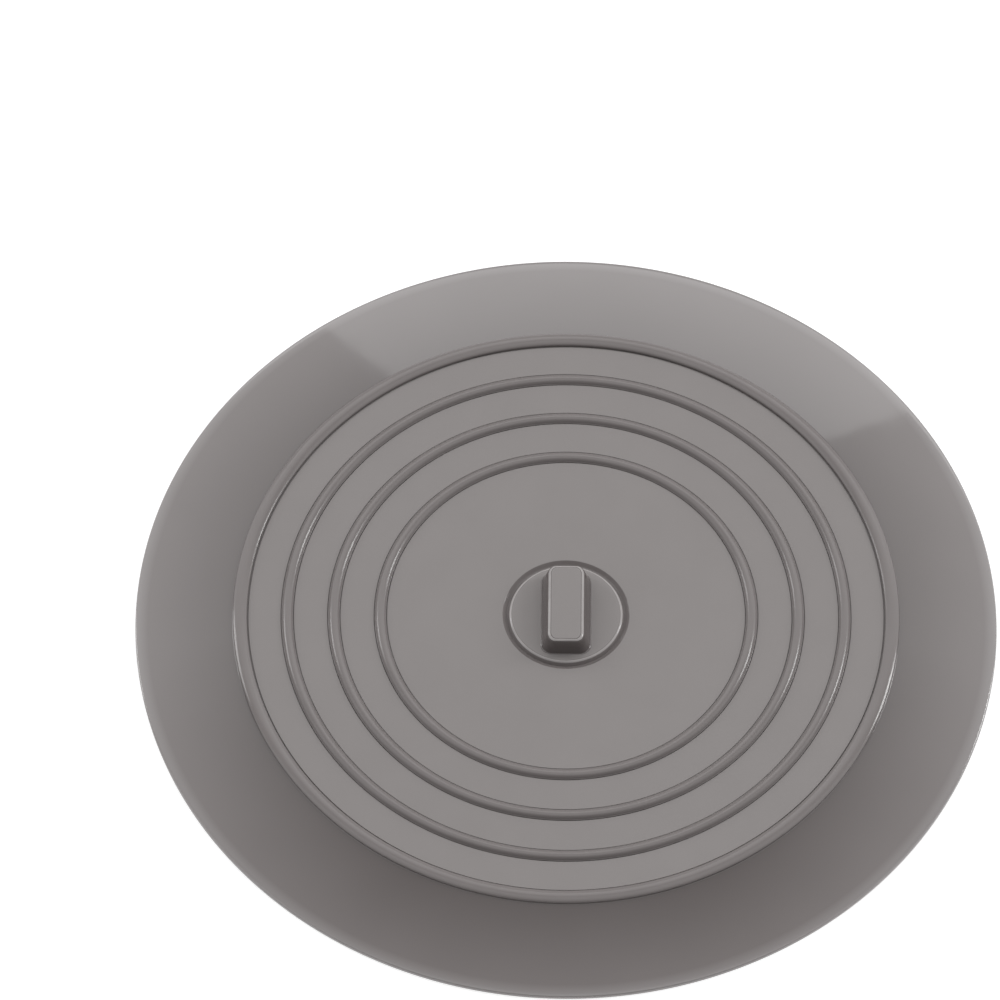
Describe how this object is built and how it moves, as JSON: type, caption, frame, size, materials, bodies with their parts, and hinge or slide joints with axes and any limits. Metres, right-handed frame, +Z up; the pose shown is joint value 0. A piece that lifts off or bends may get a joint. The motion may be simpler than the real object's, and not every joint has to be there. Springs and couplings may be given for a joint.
{
  "type": "drain stopper",
  "caption": "Flat round silicone drain stopper with a thin sloping flange, ribbed centre plate and raised pull tab; its front side folds up and its lip peels to break the seal.",
  "frame": {"origin": "centre of the round stopper, on the floor that it lies on", "axes": "+Z up through the pull tab; Y along the tab, with the folding side at -Y; X along the fold line"},
  "size_m": [0.15, 0.15, 0.0068],
  "materials": {
    "matte_silicone": "grey silicone rubber, fine matte mould texture",
    "satin_silicone": "grey silicone rubber, satin mould texture",
    "gloss_silicone": "grey silicone rubber, smooth and glossy, a little translucent where it is thin"
  },
  "bodies": {
    "base": {"plate": "matte_silicone", "edge_bead": "satin_silicone", "outer_rib": "satin_silicone", "middle_rib": "satin_silicone", "inner_rib": "satin_silicone", "centre_boss": "satin_silicone", "pull_tab": "satin_silicone", "flange": "gloss_silicone", "sealing_lip": "gloss_silicone"},
    "fold_side": {"fold_plate": "matte_silicone", "fold_edge_bead": "satin_silicone", "fold_outer_rib": "satin_silicone", "fold_middle_rib": "satin_silicone", "fold_inner_rib": "satin_silicone", "fold_flange": "gloss_silicone", "fold_sealing_lip": "gloss_silicone"},
    "peel_edge": {"peel_flange": "gloss_silicone", "peel_sealing_lip": "gloss_silicone"}
  },
  "joints": [
    {"name": "fold", "type": "hinge", "parent": "base", "child": "fold_side", "pos_m": [0, -0.0288, 0.00375], "axis": [-1, 0, 0], "range_deg": [0, 140], "stiffness_Nm_per_rad": 0.008},
    {"name": "peel", "type": "hinge", "parent": "fold_side", "child": "peel_edge", "pos_m": [0, -0.05945, 0.0029], "axis": [-1, 0, 0], "range_deg": [0, 80], "stiffness_Nm_per_rad": 0.005}
  ]
}
